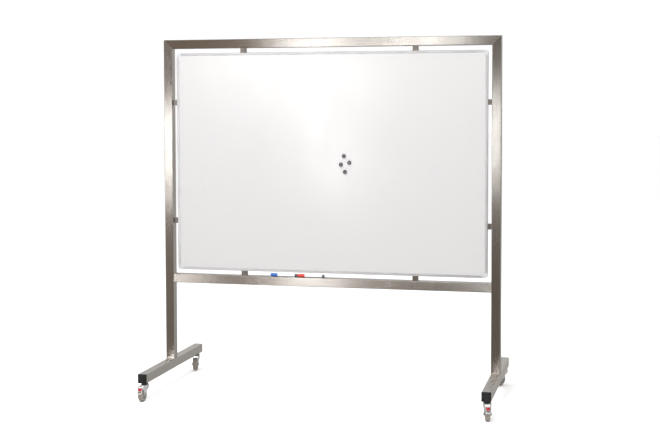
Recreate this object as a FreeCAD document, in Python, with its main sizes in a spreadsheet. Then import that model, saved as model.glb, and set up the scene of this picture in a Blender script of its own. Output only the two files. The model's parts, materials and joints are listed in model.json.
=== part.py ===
import FreeCAD, Part
import os
import re
import Sketcher

# A rolling whiteboard: an enamelled board held by eight lugs in a welded frame of square tube,
# on two T-feet with four swivel castors. Millimetres, +Z up, the front faces -Y, and the
# origin lies on the floor in the middle of the footprint.

SIZES = {
    # welded frame
    "frame_width": 1900, "frame_height": 1960, "tube": 50, "wall": 2, "tube_corner": 3,
    "shelf_height": 638, "ride_height": 98, "foot_length": 900, "post_y": 24,
    "endcap_face": 4, "endcap_plug": 14, "endcap_play": 0.2, "endcap_round": 2, "weld": 3,
    # board
    "gap_side": 22, "gap_level": 25, "board_depth": 20, "board_round": 12,
    "profile_face": 13, "profile_wall": 1.5, "profile_edge": 1.2, "corner_arm": 28,
    "front_skin": 0.6, "rear_skin": 0.5,
    "lug_width": 30, "lug_front": 12, "lug_tab": 3, "lug_reach": 11, "lug_x": 486, "lug_z": 333,
    "screw_radius": 2, "screw_head": 4, "screw_head_depth": 2.5, "screw_inset": 6.5,
    # castors
    "stem_y": 410, "trail": 34, "stem_radius": 6, "stem_top": 118, "stem_hole": 6.5,
    "collar_radius": 11, "collar_height": 4, "nut_radius": 11, "nut_height": 10,
    "rivet_radius": 9, "rivet_height": 3.7, "rivet_gap": 0.3,
    "ring_radius": 19, "ring_height": 6.7, "ring_round": 2,
    "fork_top": 87, "fork_plate": 3, "fork_disc": 24, "fork_back": 16, "fork_bridge": 38,
    "fork_inner": 28, "fork_cheek": 2.5, "fork_shoulder": 9, "boss_reach": 11, "boss_round": 10,
    "ear_reach": 8, "ear_round": 7.5, "running_play": 0.05, "cut_margin": 1,
    "wheel_radius": 37.5, "tyre_inner": 28, "tyre_width": 25, "tread_round": 9,
    "rim_inner": 24, "web_width": 9, "hub_radius": 11, "hub_width": 27.4,
    "axle_radius": 4, "axle_head": 7.5, "axle_head_height": 5,
    "pedal_inner": 39.5, "pedal_outer": 44, "pedal_width": 24, "pedal_start": 12, "pedal_end": 64,
    "pin_x": 20, "pin_z": 40.5, "pin_radius": 2.5, "pin_boss": 5.5,
    "shoe_inner": 37.8, "shoe_width": 16, "shoe_start": 30, "shoe_angle": 20,
    "lip_from": 42, "lip_length": 13, "lip_thick": 4, "lip_angle": 15,
    "tab_outer": 48.5, "tab_width": 20, "tab_start": 34, "tab_angle": 21,
    "turn_front_left": 268, "turn_front_right": 281,
    "turn_rear_left": 281, "turn_rear_right": 238,
    # loose pieces
    "magnet_radius": 11, "magnet_height": 8, "magnet_round": 1.5, "rest_gap": 0.1,
    "magnet_one_x": 90, "magnet_one_z": 1313, "magnet_two_x": 120, "magnet_two_z": 1277,
    "magnet_three_x": 73, "magnet_three_z": 1266, "magnet_four_x": 95, "magnet_four_z": 1226,
    "marker_length": 153, "marker_radius": 9, "marker_cap": 41, "marker_plug": 14,
    "marker_wall": 1.4, "marker_bevel": 1, "cap_end": 2.4, "marker_play": 0.3,
    "spigot_length": 24, "nib_radius": 3, "nib_length": 10,
    "marker_forward": 8, "blue_marker_x": -331, "red_marker_x": -175,
}

POST_X = "(frame_width / 2 - tube / 2)"
BOARD_WIDTH = "(frame_width - 2 * tube - 2 * gap_side)"
BOARD_HEIGHT = "(frame_height - tube - shelf_height - 2 * gap_level)"
BOARD_BOTTOM = "(shelf_height + gap_level)"
BOARD_TOP = "(frame_height - tube - gap_level)"
BOARD_MIDDLE = "(shelf_height / 2 + frame_height / 2 - tube / 2)"
FRONT_FACE = "(post_y - board_depth / 2 + profile_wall)"
BACK_FACE = "(post_y + board_depth / 2 - profile_wall)"
PROFILE_WIDE = f"{BOARD_WIDTH} - 2 * corner_arm"
PROFILE_TALL = f"{BOARD_HEIGHT} - 2 * corner_arm"
LUG_LENGTHS = {"level": "gap_level", "side": "gap_side"}

X_AXIS = FreeCAD.Vector(1, 0, 0)
Y_AXIS = FreeCAD.Vector(0, 1, 0)
Z_AXIS = FreeCAD.Vector(0, 0, 1)
HERE = FreeCAD.Vector(0, 0, 0)

# Each castor: which side (x), which end (y), and whether it has a brake.
CASTORS = {
    "front_left": (-1, -1, True),
    "front_right": (1, -1, True),
    "rear_left": (-1, 1, False),
    "rear_right": (1, 1, False),
}

doc = FreeCAD.newDocument("rolling_whiteboard")
sheet = doc.addObject("Spreadsheet::Sheet", "Sizes")
for row, (alias, size) in enumerate(SIZES.items(), start=1):
    sheet.set(f"A{row}", alias)
    sheet.set(f"B{row}", str(size))
    sheet.setAlias(f"B{row}", alias)
doc.recompute()

nodes = []


# ---- helpers ----------------------------------------------------------------------------

def on_sheet(expression):
    """Turn the size names in an expression into references to the spreadsheet."""
    return re.sub(r"[a-z_]+", lambda word: f"Sizes.{word[0]}" if word[0] in SIZES else word[0],
                  str(expression))


def bind(item, **sizes):
    """Tie properties to expressions; x, y and z are the item's place."""
    places = {"x": "Placement.Base.x", "y": "Placement.Base.y", "z": "Placement.Base.z"}
    for name, expression in sizes.items():
        item.setExpression(places.get(name, name), on_sheet(expression))
    return item


def turned(item, axis, degrees):
    """Turn an item about an axis through its own origin."""
    item.Placement = FreeCAD.Placement(HERE, FreeCAD.Rotation(axis, degrees))
    return item


def node(item, label):
    """Register a finished sub-part under the name of its file."""
    item.Label = label
    nodes.append(item)
    return item


def solid(kind, name, **sizes):
    return bind(doc.addObject(f"Part::{kind}", name), **sizes)


def group(kind, name, items):
    """A Part::MultiFuse or Part::Compound of several items."""
    result = doc.addObject(f"Part::{kind}", name)
    setattr(result, "Links" if kind == "Compound" else "Shapes", items)
    return result


def cut(name, base, tool):
    result = doc.addObject("Part::Cut", name)
    result.Base = base
    result.Tool = tool
    return result


def new_body(name):
    return doc.addObject("PartDesign::Body", name)


def own(body, role):
    """One of the body's own origin planes or axes."""
    return next(item for item in body.Origin.OriginFeatures if item.Role == role)


def sketch_on(body, role):
    """A sketch on one of the body's own origin planes."""
    sketch = body.newObject("Sketcher::SketchObject", f"{body.Name}_sketch")
    sketch.AttachmentSupport = [(own(body, role), "")]
    sketch.MapMode = "FlatFace"
    return sketch


def value_of(item, expression):
    """The number that an expression stands for."""
    value = item.evalExpression(on_sheet(expression))
    return float(getattr(value, "Value", value))


def pin_point(sketch, line, point, x, y):
    """Hold one point of a sketch at a place given by two expressions."""
    for kind, axis, expression in (("DistanceX", -2, x), ("DistanceY", -1, y)):
        place = value_of(sketch, expression)
        if abs(place) < 1e-9:
            sketch.addConstraint(Sketcher.Constraint("PointOnObject", line, point, axis))
            continue
        rule = sketch.addConstraint(Sketcher.Constraint(kind, -1, 1, line, point, place))
        sketch.setExpression(f"Constraints[{rule}]", on_sheet(expression))


def outline(sketch, corners):
    """Draw a closed outline; every corner is a pair of expressions."""
    values = [FreeCAD.Vector(value_of(sketch, x), value_of(sketch, y), 0) for x, y in corners]
    first = sketch.GeometryCount
    count = len(values)
    for index, start in enumerate(values):
        sketch.addGeometry(Part.LineSegment(start, values[(index + 1) % count]), False)
    for index in range(count):
        following = first + (index + 1) % count
        sketch.addConstraint(Sketcher.Constraint("Coincident", first + index, 2, following, 1))
    for index, (x, y) in enumerate(corners):
        pin_point(sketch, first + index, 1, x, y)
    return sketch


def square(sketch, half):
    return outline(sketch, [(f"-({half})", f"-({half})"), (half, f"-({half})"),
                            (half, half), (f"-({half})", half)])


def circle(sketch, radius, x="0", y="0"):
    centre = FreeCAD.Vector(value_of(sketch, x), value_of(sketch, y), 0)
    size = value_of(sketch, radius)
    index = sketch.addGeometry(Part.Circle(centre, Z_AXIS, size), False)
    rule = sketch.addConstraint(Sketcher.Constraint("Radius", index, size))
    sketch.setExpression(f"Constraints[{rule}]", on_sheet(radius))
    pin_point(sketch, index, 3, x, y)
    return sketch


def pad(body, sketch, length, both_ways=False, reverse=False):
    feature = body.newObject("PartDesign::Pad", f"{body.Name}_pad")
    feature.Profile = sketch
    feature.SideType = "Symmetric" if both_ways else "One side"
    feature.Reversed = reverse
    bind(feature, Length=length)
    doc.recompute()
    return feature


def pocket(body, sketch, length=None, both_ways=True, reverse=False):
    """Cut a sketch out of the body, and make sure that it took something away."""
    before = body.Shape.Volume
    feature = body.newObject("PartDesign::Pocket", f"{body.Name}_pocket")
    feature.Profile = sketch
    feature.SideType = "Symmetric" if both_ways else "One side"
    feature.Reversed = reverse
    if length is None:
        feature.Type = "ThroughAll"
    else:
        bind(feature, Length=length)
    doc.recompute()
    if not body.Shape.Volume < before - 1e-3:
        raise RuntimeError(f"{feature.Name} cuts nothing")
    return feature


def revolve(body, sketch):
    """A full turn about the body's own Y axis."""
    feature = body.newObject("PartDesign::Revolution", f"{body.Name}_revolution")
    feature.Profile = sketch
    feature.ReferenceAxis = (own(body, "Y_Axis"), [""])
    feature.Angle = 360
    doc.recompute()
    return feature


def round_edges(body, radius, wanted):
    """Fillet those edges of the body for which wanted(edge) is true."""
    tip = body.Tip
    names = [f"Edge{index}" for index, edge in enumerate(tip.Shape.Edges, start=1) if wanted(edge)]
    feature = body.newObject("PartDesign::Fillet", f"{body.Name}_fillet")
    feature.Base = (tip, names)
    bind(feature, Radius=radius)
    doc.recompute()
    return feature


def runs_along(edge, axis):
    """True for a straight edge parallel to an axis."""
    if edge.Curve.TypeId != "Part::GeomLine":
        return False
    return abs(abs(edge.Curve.Direction.dot(axis)) - 1) < 1e-6


def size_of(alias):
    return float(SIZES[alias])


# ---- welded frame -----------------------------------------------------------------------

def tube(name, role, axis, length, both_ways=True):
    """A square tube with rounded outer corners, from the middle of its section."""
    body = new_body(name)
    section = sketch_on(body, role)
    square(section, "tube / 2")
    square(section, "tube / 2 - wall")
    pad(body, section, length, both_ways)
    reach = size_of("tube") / 2 - 0.01

    def outer_corner(edge):
        middle = edge.CenterOfMass
        across = [middle.dot(other) for other in (X_AXIS, Y_AXIS, Z_AXIS) if other != axis]
        return runs_along(edge, axis) and all(abs(part) > reach for part in across)

    round_edges(body, "tube_corner", outer_corner)
    return body


def make_post(label, side):
    """A post, mitred at the top. side is -1 for left and 1 for right."""
    length = "(frame_height - ride_height - tube)"
    post = tube(label, "XY_Plane", Z_AXIS, length, both_ways=False)
    outer = f"({side} * (tube / 2 + weld))"
    inner = f"(-{side} * (tube / 2 + weld))"
    mitre = outline(sketch_on(post, "XZ_Plane"),
                    [(outer, f"{length} + weld"), (inner, f"{length} + weld"),
                     (inner, f"{length} - tube - weld")])
    pocket(post, mitre)
    bind(post, x=f"{side} * {POST_X}", y="post_y", z="ride_height + tube")
    node(post, label)


def make_top_rail():
    """The top rail, mitred at both ends."""
    rail = tube("top_rail", "YZ_Plane", X_AXIS, "frame_width")
    for side in (-1, 1):
        outer = f"({side} * (frame_width / 2 + weld))"
        inner = f"({side} * (frame_width / 2 - tube - weld))"
        mitre = outline(sketch_on(rail, "XZ_Plane"),
                        [(outer, "tube / 2 + weld"), (outer, "-tube / 2 - weld"),
                         (inner, "-tube / 2 - weld")])
        pocket(rail, mitre)
    bind(rail, x="0", y="post_y", z="frame_height - tube / 2")
    node(rail, "top_rail")


def make_lower_rail():
    rail = tube("lower_rail", "YZ_Plane", X_AXIS, "frame_width - 2 * tube")
    bind(rail, x="0", y="post_y", z="shelf_height - tube / 2")
    node(rail, "lower_rail")


def make_foot(label, side):
    """A foot with a stem hole through its lower wall at each end."""
    foot = tube(label, "XZ_Plane", Y_AXIS, "foot_length - 2 * endcap_face")
    holes = sketch_on(foot, "XY_Plane")
    circle(holes, "stem_hole", "0", "-stem_y")
    circle(holes, "stem_hole", "0", "stem_y")
    pocket(foot, holes, both_ways=False)
    bind(foot, x=f"{side} * {POST_X}", y="post_y", z="ride_height + tube / 2")
    node(foot, label)


def make_end_cap(corner, side, end):
    """A plastic cap: a square face with a plug behind it that fills the tube's end."""
    cap = turned(new_body(f"end_cap_{corner}"), Z_AXIS, 0 if end < 0 else 180)
    pad(cap, square(sketch_on(cap, "XZ_Plane"), "tube / 2"), "endcap_face")
    pad(cap, square(sketch_on(cap, "XZ_Plane"), "tube / 2 - wall - endcap_play"),
        "endcap_plug", reverse=True)
    front = -size_of("endcap_face") + 0.01
    round_edges(cap, "endcap_round", lambda edge: edge.CenterOfMass.y < front)
    bind(cap, x=f"{side} * {POST_X}", y=f"post_y + {end} * (foot_length / 2 - endcap_face)",
         z="ride_height + tube / 2")
    node(cap, f"end_cap_{corner}")


def weld_bead(name, along, first, x, y, z):
    """A quarter-round bead. It runs along one axis and fills the corner from first to along x first."""
    bead = solid("Cylinder", name, Radius="weld", Height="tube - 2 * tube_corner", Angle="90")
    turn = FreeCAD.Rotation(first, along.cross(first), along)
    bead.Placement = FreeCAD.Placement(HERE, turn)
    return bind(bead, x=x, y=y, z=z)


def make_welds():
    """Beads at the front and back of each post's base, and over and under the lower rail's ends."""
    beads = []
    half = "(tube / 2 - tube_corner)"
    for side in (-1, 1):
        for end in (-1, 1):
            first = Z_AXIS if end < 0 else Y_AXIS
            beads.append(weld_bead("base_bead", X_AXIS, first, f"{side} * {POST_X} - {half}",
                                   f"post_y + {end} * tube / 2", "ride_height + tube"))
        for above in (True, False):
            inward = X_AXIS * -side
            upward = Z_AXIS if above else Z_AXIS * -1
            first = upward if Y_AXIS.cross(upward).dot(inward) > 0 else inward
            beads.append(weld_bead("rail_bead", Y_AXIS, first, f"{side} * (frame_width / 2 - tube)",
                                   f"post_y - {half}",
                                   "shelf_height" if above else "shelf_height - tube"))
    node(group("Compound", "frame_welds", beads), "frame_welds")


# ---- board ------------------------------------------------------------------------------

def make_panel(label, thickness, y):
    """A flat layer of the board with round corners; y is its front face."""
    panel = new_body(label)
    half_width = f"({BOARD_WIDTH} / 2 - profile_wall)"
    half_height = f"({BOARD_HEIGHT} / 2 - profile_wall)"
    face = outline(sketch_on(panel, "XZ_Plane"),
                   [(f"-{half_width}", f"-{half_height}"), (half_width, f"-{half_height}"),
                    (half_width, half_height), (f"-{half_width}", half_height)])
    pad(panel, face, thickness, reverse=True)
    round_edges(panel, "board_round - profile_wall", lambda edge: runs_along(edge, Y_AXIS))
    bind(panel, x="0", y=y, z=BOARD_MIDDLE)
    node(panel, label)


def make_profile(label, degrees, length, lug_place, x, z):
    """A channel that wraps the board's edge, with a hole in its rear lip at each lug."""
    profile = turned(new_body(label), Y_AXIS, degrees)
    half = "board_depth / 2"
    section = outline(sketch_on(profile, "YZ_Plane"), [
        (f"-{half}", "0"), (half, "0"), (half, "profile_face"),
        (f"{half} - profile_wall", "profile_face"), (f"{half} - profile_wall", "profile_wall"),
        (f"-{half} + profile_wall", "profile_wall"), (f"-{half} + profile_wall", "profile_face"),
        (f"-{half}", "profile_face")])
    pad(profile, section, length, both_ways=True)
    round_edges(profile, "profile_edge",
                lambda edge: runs_along(edge, X_AXIS) and abs(edge.CenterOfMass.z) < 0.01)
    holes = sketch_on(profile, "XZ_Plane")
    circle(holes, "screw_radius", f"-{lug_place}", "screw_inset")
    circle(holes, "screw_radius", lug_place, "screw_inset")
    pocket(profile, holes, both_ways=False)
    bind(profile, x=x, y="post_y", z=z)
    node(profile, label)


def make_corners():
    """Four plastic corner pieces, each an L with a slot for the panel and a round outer corner."""
    corners = []
    places = ((0, "-1", BOARD_BOTTOM), (-90, "1", BOARD_BOTTOM),
              (180, "1", BOARD_TOP), (90, "-1", BOARD_TOP))
    bevel = "(board_round - profile_wall) * (2 - sqrt(2))"
    for degrees, side, z in places:
        corner = turned(new_body("board_corner"), Y_AXIS, degrees)
        arms = outline(sketch_on(corner, "XZ_Plane"), [
            ("0", "0"), ("corner_arm", "0"), ("corner_arm", "profile_face"),
            ("profile_face", "profile_face"), ("profile_face", "corner_arm"), ("0", "corner_arm")])
        pad(corner, arms, "board_depth", both_ways=True)
        round_edges(corner, "board_round",
                    lambda edge: runs_along(edge, Y_AXIS) and edge.CenterOfMass.Length < 0.01)
        slot = outline(sketch_on(corner, "XZ_Plane"), [
            ("profile_wall", f"profile_wall + {bevel}"), (f"profile_wall + {bevel}", "profile_wall"),
            ("corner_arm + cut_margin", "profile_wall"),
            ("corner_arm + cut_margin", "corner_arm + cut_margin"),
            ("profile_wall", "corner_arm + cut_margin")])
        pocket(corner, slot, "board_depth - 2 * profile_wall")
        bind(corner, x=f"{side} * {BOARD_WIDTH} / 2", y="post_y", z=z)
        corners.append(corner)
    node(group("Compound", "board_corners", corners), "board_corners")


def lug_places():
    """Every lug: its turn about Y, its gap, and its foot on the tube."""
    inner = "(frame_width / 2 - tube)"
    for side in (-1, 1):
        yield 0, "level", f"{side} * lug_x", "shelf_height"
        yield 180, "level", f"{side} * lug_x", "frame_height - tube"
        yield 90 * -side, "side", f"{side} * {inner}", f"{BOARD_MIDDLE} - lug_z"
        yield 90 * -side, "side", f"{side} * {inner}", f"{BOARD_MIDDLE} + lug_z"


def make_lugs():
    """Square stubs from the tubes to the board, each with a tab behind the board's profile."""
    lugs = []
    back = "(board_depth / 2 + lug_tab)"
    for degrees, gap, x, z in lug_places():
        length = LUG_LENGTHS[gap]
        lug = turned(new_body("board_lug"), Y_AXIS, degrees)
        side_view = outline(sketch_on(lug, "YZ_Plane"), [
            ("-lug_front", "0"), (back, "0"), (back, f"{length} + lug_reach"),
            ("board_depth / 2", f"{length} + lug_reach"), ("board_depth / 2", length),
            ("-lug_front", length)])
        pad(lug, side_view, "lug_width", both_ways=True)
        hole = circle(sketch_on(lug, "XZ_Plane"), "screw_radius", "0", f"{length} + screw_inset")
        pocket(lug, hole, both_ways=False)
        bind(lug, x=x, y="post_y", z=z)
        lugs.append(lug)
    node(group("Compound", "board_lugs", lugs), "board_lugs")


def make_lug_screws():
    """A pan-head screw through each lug's tab into the profile's rear lip."""
    screws = []
    for degrees, gap, x, z in lug_places():
        screw = turned(new_body("lug_screw"), Y_AXIS, degrees)
        shank = circle(sketch_on(screw, "XZ_Plane"), "screw_radius")
        pad(screw, shank, "lug_tab + profile_wall")
        head = circle(sketch_on(screw, "XZ_Plane"), "screw_head")
        pad(screw, head, "screw_head_depth", reverse=True)
        inset = f"({LUG_LENGTHS[gap]} + screw_inset)"
        turn = screw.Placement.Rotation.multVec(Z_AXIS)
        bind(screw, x=f"{x} + {round(turn.x)} * {inset}", z=f"{z} + {round(turn.z)} * {inset}",
             y="post_y + board_depth / 2 + lug_tab")
        screws.append(screw)
    node(group("Compound", "lug_screws", screws), "lug_screws")


# ---- castors ----------------------------------------------------------------------------

def at_stem(item, corner, turn=True):
    """Stand an item on its castor's stem axis, turned to the castor's trail."""
    side, end, _ = CASTORS[corner]
    if turn:
        turned(item, Z_AXIS, size_of(f"turn_{corner}"))
    return bind(item, x=f"{side} * {POST_X}", y=f"post_y + {end} * stem_y", z="0")


def at_wheel(item, corner):
    """Centre an item on its castor's wheel, with its Y axis along the axle."""
    side, end, _ = CASTORS[corner]
    turned(item, Z_AXIS, size_of(f"turn_{corner}"))
    angle = f"turn_{corner} * 1deg"
    return bind(item, x=f"{side} * {POST_X} + trail * cos({angle})",
                y=f"post_y + {end} * stem_y + trail * sin({angle})", z="wheel_radius")


def make_stem(corner):
    """The threaded stem: a hex collar under the foot and a rivet head under the fork's plate."""
    label = f"castor_{corner}_stem"
    rivet_top = "(fork_top - fork_plate - rivet_gap)"
    shaft = solid("Cylinder", f"{label}_shaft", Radius="stem_radius",
                  Height=f"stem_top - {rivet_top}", z=rivet_top)
    collar = solid("Prism", f"{label}_collar", Circumradius="collar_radius",
                   Height="collar_height", z="ride_height - collar_height")
    rivet = solid("Cylinder", f"{label}_rivet", Radius="rivet_radius",
                  Height="rivet_height", z=f"{rivet_top} - rivet_height")
    node(at_stem(group("MultiFuse", label, [shaft, collar, rivet]), corner, turn=False), label)


def make_bearing(corner):
    """The dark ring between the collar and the fork's plate."""
    label = f"castor_{corner}_bearing"
    bearing = new_body(label)
    ring = sketch_on(bearing, "XY_Plane")
    circle(ring, "ring_radius")
    circle(ring, "stem_radius")
    pad(bearing, ring, "ring_height")
    round_edges(bearing, "ring_round",
                lambda edge: edge.CenterOfMass.z > size_of("ring_height") - 0.01
                and edge.Curve.Radius > size_of("stem_radius") + 1)
    at_stem(bearing, corner, turn=False)
    bind(bearing, z="ride_height - collar_height - ring_height")
    node(bearing, label)


def make_nuts():
    """The four hex nuts inside the feet that hold the stems."""
    nuts = []
    for corner in CASTORS:
        body = solid("Prism", "nut_hexagon", Circumradius="nut_radius", Height="nut_height")
        bore = solid("Cylinder", "nut_bore", Radius="stem_radius", Height="nut_height")
        nut = at_stem(cut("castor_nut", body, bore), corner, turn=False)
        nuts.append(bind(nut, z="ride_height + wall"))
    node(group("Compound", "castor_nuts", nuts), "castor_nuts")


def make_fork(corner):
    """A pressed fork: a round head plate, a bridge and two cheeks that reach down to the axle."""
    label = f"castor_{corner}_fork"
    fork = new_body(label)
    braked = CASTORS[corner][2]
    ear_x = "(trail + pin_x + ear_reach)"
    ear_z = "(wheel_radius + pin_z)"
    if braked:
        nose = [(ear_x, "fork_top"), (ear_x, f"{ear_z} - ear_reach")]
    else:
        nose = [("fork_bridge", "fork_top")]
    cheek = outline(sketch_on(fork, "XZ_Plane"), [("-fork_back", "fork_top")] + nose + [
        ("trail + boss_reach", "wheel_radius + boss_reach"),
        ("trail + boss_reach", "wheel_radius - boss_reach"),
        ("trail - boss_reach", "wheel_radius - boss_reach"),
        ("trail - boss_reach", "wheel_radius + fork_shoulder"),
        ("-fork_back", "fork_top - fork_shoulder")])
    pad(fork, cheek, "fork_inner + 2 * fork_cheek", both_ways=True)
    space = outline(sketch_on(fork, "XZ_Plane"), [
        ("-fork_back - cut_margin", "0"), (f"{ear_x} + cut_margin", "0"),
        (f"{ear_x} + cut_margin", "fork_top + cut_margin"),
        ("fork_bridge", "fork_top + cut_margin"), ("fork_bridge", "fork_top - fork_plate"),
        ("-fork_back - cut_margin", "fork_top - fork_plate")])
    pocket(fork, space, "fork_inner")
    ends = size_of("trail") + size_of("boss_reach") - 0.01
    low = size_of("wheel_radius")

    def boss_corner(edge):
        return runs_along(edge, Y_AXIS) and edge.CenterOfMass.z < low

    def ear_corner(edge):
        return runs_along(edge, Y_AXIS) and edge.CenterOfMass.x > ends + 1

    round_edges(fork, "boss_round", boss_corner)
    if braked:
        round_edges(fork, "ear_round", ear_corner)
    disc = fork.newObject("PartDesign::AdditiveCylinder", f"{label}_disc")
    bind(disc, Radius="fork_disc", Height="fork_plate")
    disc.AttachmentSupport = [(own(fork, "XY_Plane"), "")]
    disc.MapMode = "FlatFace"
    disc.setExpression("AttachmentOffset.Base.z", on_sheet("fork_top - fork_plate"))
    doc.recompute()
    pocket(fork, circle(sketch_on(fork, "XY_Plane"), "stem_radius + running_play"))
    bores = circle(sketch_on(fork, "XZ_Plane"), "axle_radius", "trail", "wheel_radius")
    if braked:
        circle(bores, "pin_radius + running_play", "trail + pin_x", "wheel_radius + pin_z")
    pocket(fork, bores)
    node(at_stem(fork, corner), label)


def make_axle(corner):
    """The axle bolt with its hex head at one cheek and its nut at the other."""
    label = f"castor_{corner}_axle"
    half = "(fork_inner / 2 + fork_cheek)"
    shaft = turned(solid("Cylinder", f"{label}_shaft", Radius="axle_radius"), X_AXIS, 90)
    bind(shaft, Height=f"2 * {half}", y=half)
    ends = []
    for side in (-1, 1):
        end = turned(solid("Prism", f"{label}_hexagon", Circumradius="axle_head"), X_AXIS, 90)
        outer = f"{half} + axle_head_height" if side > 0 else f"-{half}"
        ends.append(bind(end, Height="axle_head_height", y=outer))
    node(at_wheel(group("MultiFuse", label, [shaft] + ends), corner), label)


def make_wheel_centre(corner):
    """The plastic wheel centre: a hub, a thin web and a rim."""
    label = f"castor_{corner}_wheel_centre"
    centre = new_body(label)
    bore = "axle_radius + running_play"
    section = outline(sketch_on(centre, "XY_Plane"), [
        (bore, "-hub_width / 2"), ("hub_radius", "-hub_width / 2"),
        ("hub_radius", "-web_width / 2"), ("rim_inner", "-web_width / 2"),
        ("rim_inner", "-tyre_width / 2"), ("tyre_inner", "-tyre_width / 2"),
        ("tyre_inner", "tyre_width / 2"), ("rim_inner", "tyre_width / 2"),
        ("rim_inner", "web_width / 2"), ("hub_radius", "web_width / 2"),
        ("hub_radius", "hub_width / 2"), (bore, "hub_width / 2")])
    revolve(centre, section)
    node(at_wheel(centre, corner), label)


def make_tyre(corner):
    """A solid tyre with a rounded tread."""
    label = f"castor_{corner}_tyre"
    tyre = new_body(label)
    section = outline(sketch_on(tyre, "XY_Plane"), [
        ("tyre_inner", "-tyre_width / 2"), ("wheel_radius", "-tyre_width / 2"),
        ("wheel_radius", "tyre_width / 2"), ("tyre_inner", "tyre_width / 2")])
    revolve(tyre, section)
    tread = size_of("wheel_radius") - 0.01
    round_edges(tyre, "tread_round",
                lambda edge: edge.Curve.TypeId == "Part::GeomCircle" and edge.Curve.Radius > tread)
    node(at_wheel(tyre, corner), label)


def ring_sector(name, inner, outer, width, start, angle):
    """Part of a ring about the axle, from start degrees above the trail direction."""
    turn = FreeCAD.Rotation(X_AXIS, 90) * FreeCAD.Rotation(Z_AXIS, start)
    pieces = []
    for kind, radius in (("outside", outer), ("inside", inner)):
        piece = solid("Cylinder", f"{name}_{kind}", Radius=radius, Height=width)
        piece.Placement = FreeCAD.Placement(HERE, turn)
        pieces.append(bind(piece, y=f"({width}) / 2"))
    bind(pieces[0], Angle=angle)
    return cut(name, *pieces)


def cross_rod(name, radius, length, x, z):
    """A round bar parallel to the axle."""
    rod = turned(solid("Cylinder", name, Radius=radius), X_AXIS, 90)
    return bind(rod, Height=length, x=x, y=f"({length}) / 2", z=z)


def make_pedal(corner):
    """The brake pedal: a curved guard over the tyre on a cross pin, with a shoe and a foot lip."""
    label = f"brake_pedal_{corner}"
    guard = ring_sector(f"{label}_guard", "pedal_inner", "pedal_outer", "pedal_width",
                        size_of("pedal_start"), "pedal_end - pedal_start")
    shoe = ring_sector(f"{label}_shoe", "shoe_inner", "pedal_inner", "shoe_width",
                       size_of("shoe_start"), "shoe_angle")
    boss = cross_rod(f"{label}_boss", "pin_boss", "pedal_width", "pin_x", "pin_z")
    pin = cross_rod(f"{label}_pin", "pin_radius", "fork_inner + 2 * fork_cheek", "pin_x", "pin_z")
    lip = turned(solid("Box", f"{label}_lip", Length="lip_length", Width="pedal_width",
                       Height="lip_thick"), Y_AXIS, -size_of("lip_angle"))
    bind(lip, x="lip_from * cos(lip_angle * 1deg)", y="-pedal_width / 2",
         z="lip_from * sin(lip_angle * 1deg)")
    node(at_wheel(group("MultiFuse", label, [guard, shoe, boss, pin, lip]), corner), label)
    tab = ring_sector(f"brake_tab_{corner}", "pedal_outer", "tab_outer", "tab_width",
                      size_of("tab_start"), "tab_angle")
    node(at_wheel(tab, corner), f"brake_tab_{corner}")


# ---- loose pieces -----------------------------------------------------------------------

def make_magnet(number):
    """A round magnet on the writing surface."""
    label = f"magnet_{number}"
    magnet = new_body(label)
    pad(magnet, circle(sketch_on(magnet, "XZ_Plane"), "magnet_radius"), "magnet_height")
    front = -size_of("magnet_height") + 0.01
    round_edges(magnet, "magnet_round", lambda edge: edge.CenterOfMass.y < front)
    bind(magnet, x=f"magnet_{number}_x", y=f"{FRONT_FACE} - rest_gap", z=f"magnet_{number}_z")
    node(magnet, label)


def marker_piece(label, colour, section):
    """A turned piece of a marker, from its half section: (distance along the marker, radius)."""
    piece = turned(new_body(label), Z_AXIS, -90)
    profile = outline(sketch_on(piece, "XY_Plane"), [(radius, along) for along, radius in section])
    revolve(piece, profile)
    bind(piece, x=f"{colour}_marker_x", y="post_y - marker_forward",
         z="shelf_height + rest_gap + marker_radius")
    node(piece, label)


def make_marker(colour):
    """A marker lying on its side: its cap at the left, then the barrel and the end plug."""
    spigot = "(marker_radius - marker_wall - marker_play)"
    spigot_end = "(marker_cap - spigot_length)"
    nib_end = "(marker_cap - spigot_length - nib_length)"
    barrel_end = "(marker_length - marker_plug)"
    marker_piece(f"{colour}_marker_barrel", colour, [
        (nib_end, "0"), (nib_end, "nib_radius"), (spigot_end, "nib_radius"), (spigot_end, spigot),
        ("marker_cap + rest_gap", spigot), ("marker_cap + rest_gap", "marker_radius"),
        (barrel_end, "marker_radius"), (barrel_end, "0")])
    bore = "(marker_radius - marker_wall)"
    marker_piece(f"{colour}_marker_cap", colour, [
        ("0", "0"), ("0", "marker_radius - marker_bevel"), ("marker_bevel", "marker_radius"),
        ("marker_cap", "marker_radius"), ("marker_cap", bore), ("cap_end", bore),
        ("cap_end", "0")])
    marker_piece(f"{colour}_marker_plug", colour, [
        (barrel_end, "0"), (barrel_end, "marker_radius"),
        ("marker_length - marker_bevel", "marker_radius"),
        ("marker_length", "marker_radius - marker_bevel"), ("marker_length", "0")])


# ---- the whole assembly -----------------------------------------------------------------

for side_name, side in (("left", -1), ("right", 1)):
    make_post(f"{side_name}_post", side)
    make_foot(f"{side_name}_foot", side)
make_top_rail()
make_lower_rail()
for corner, (side, end, _) in CASTORS.items():
    make_end_cap(corner, side, end)
make_welds()

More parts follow.
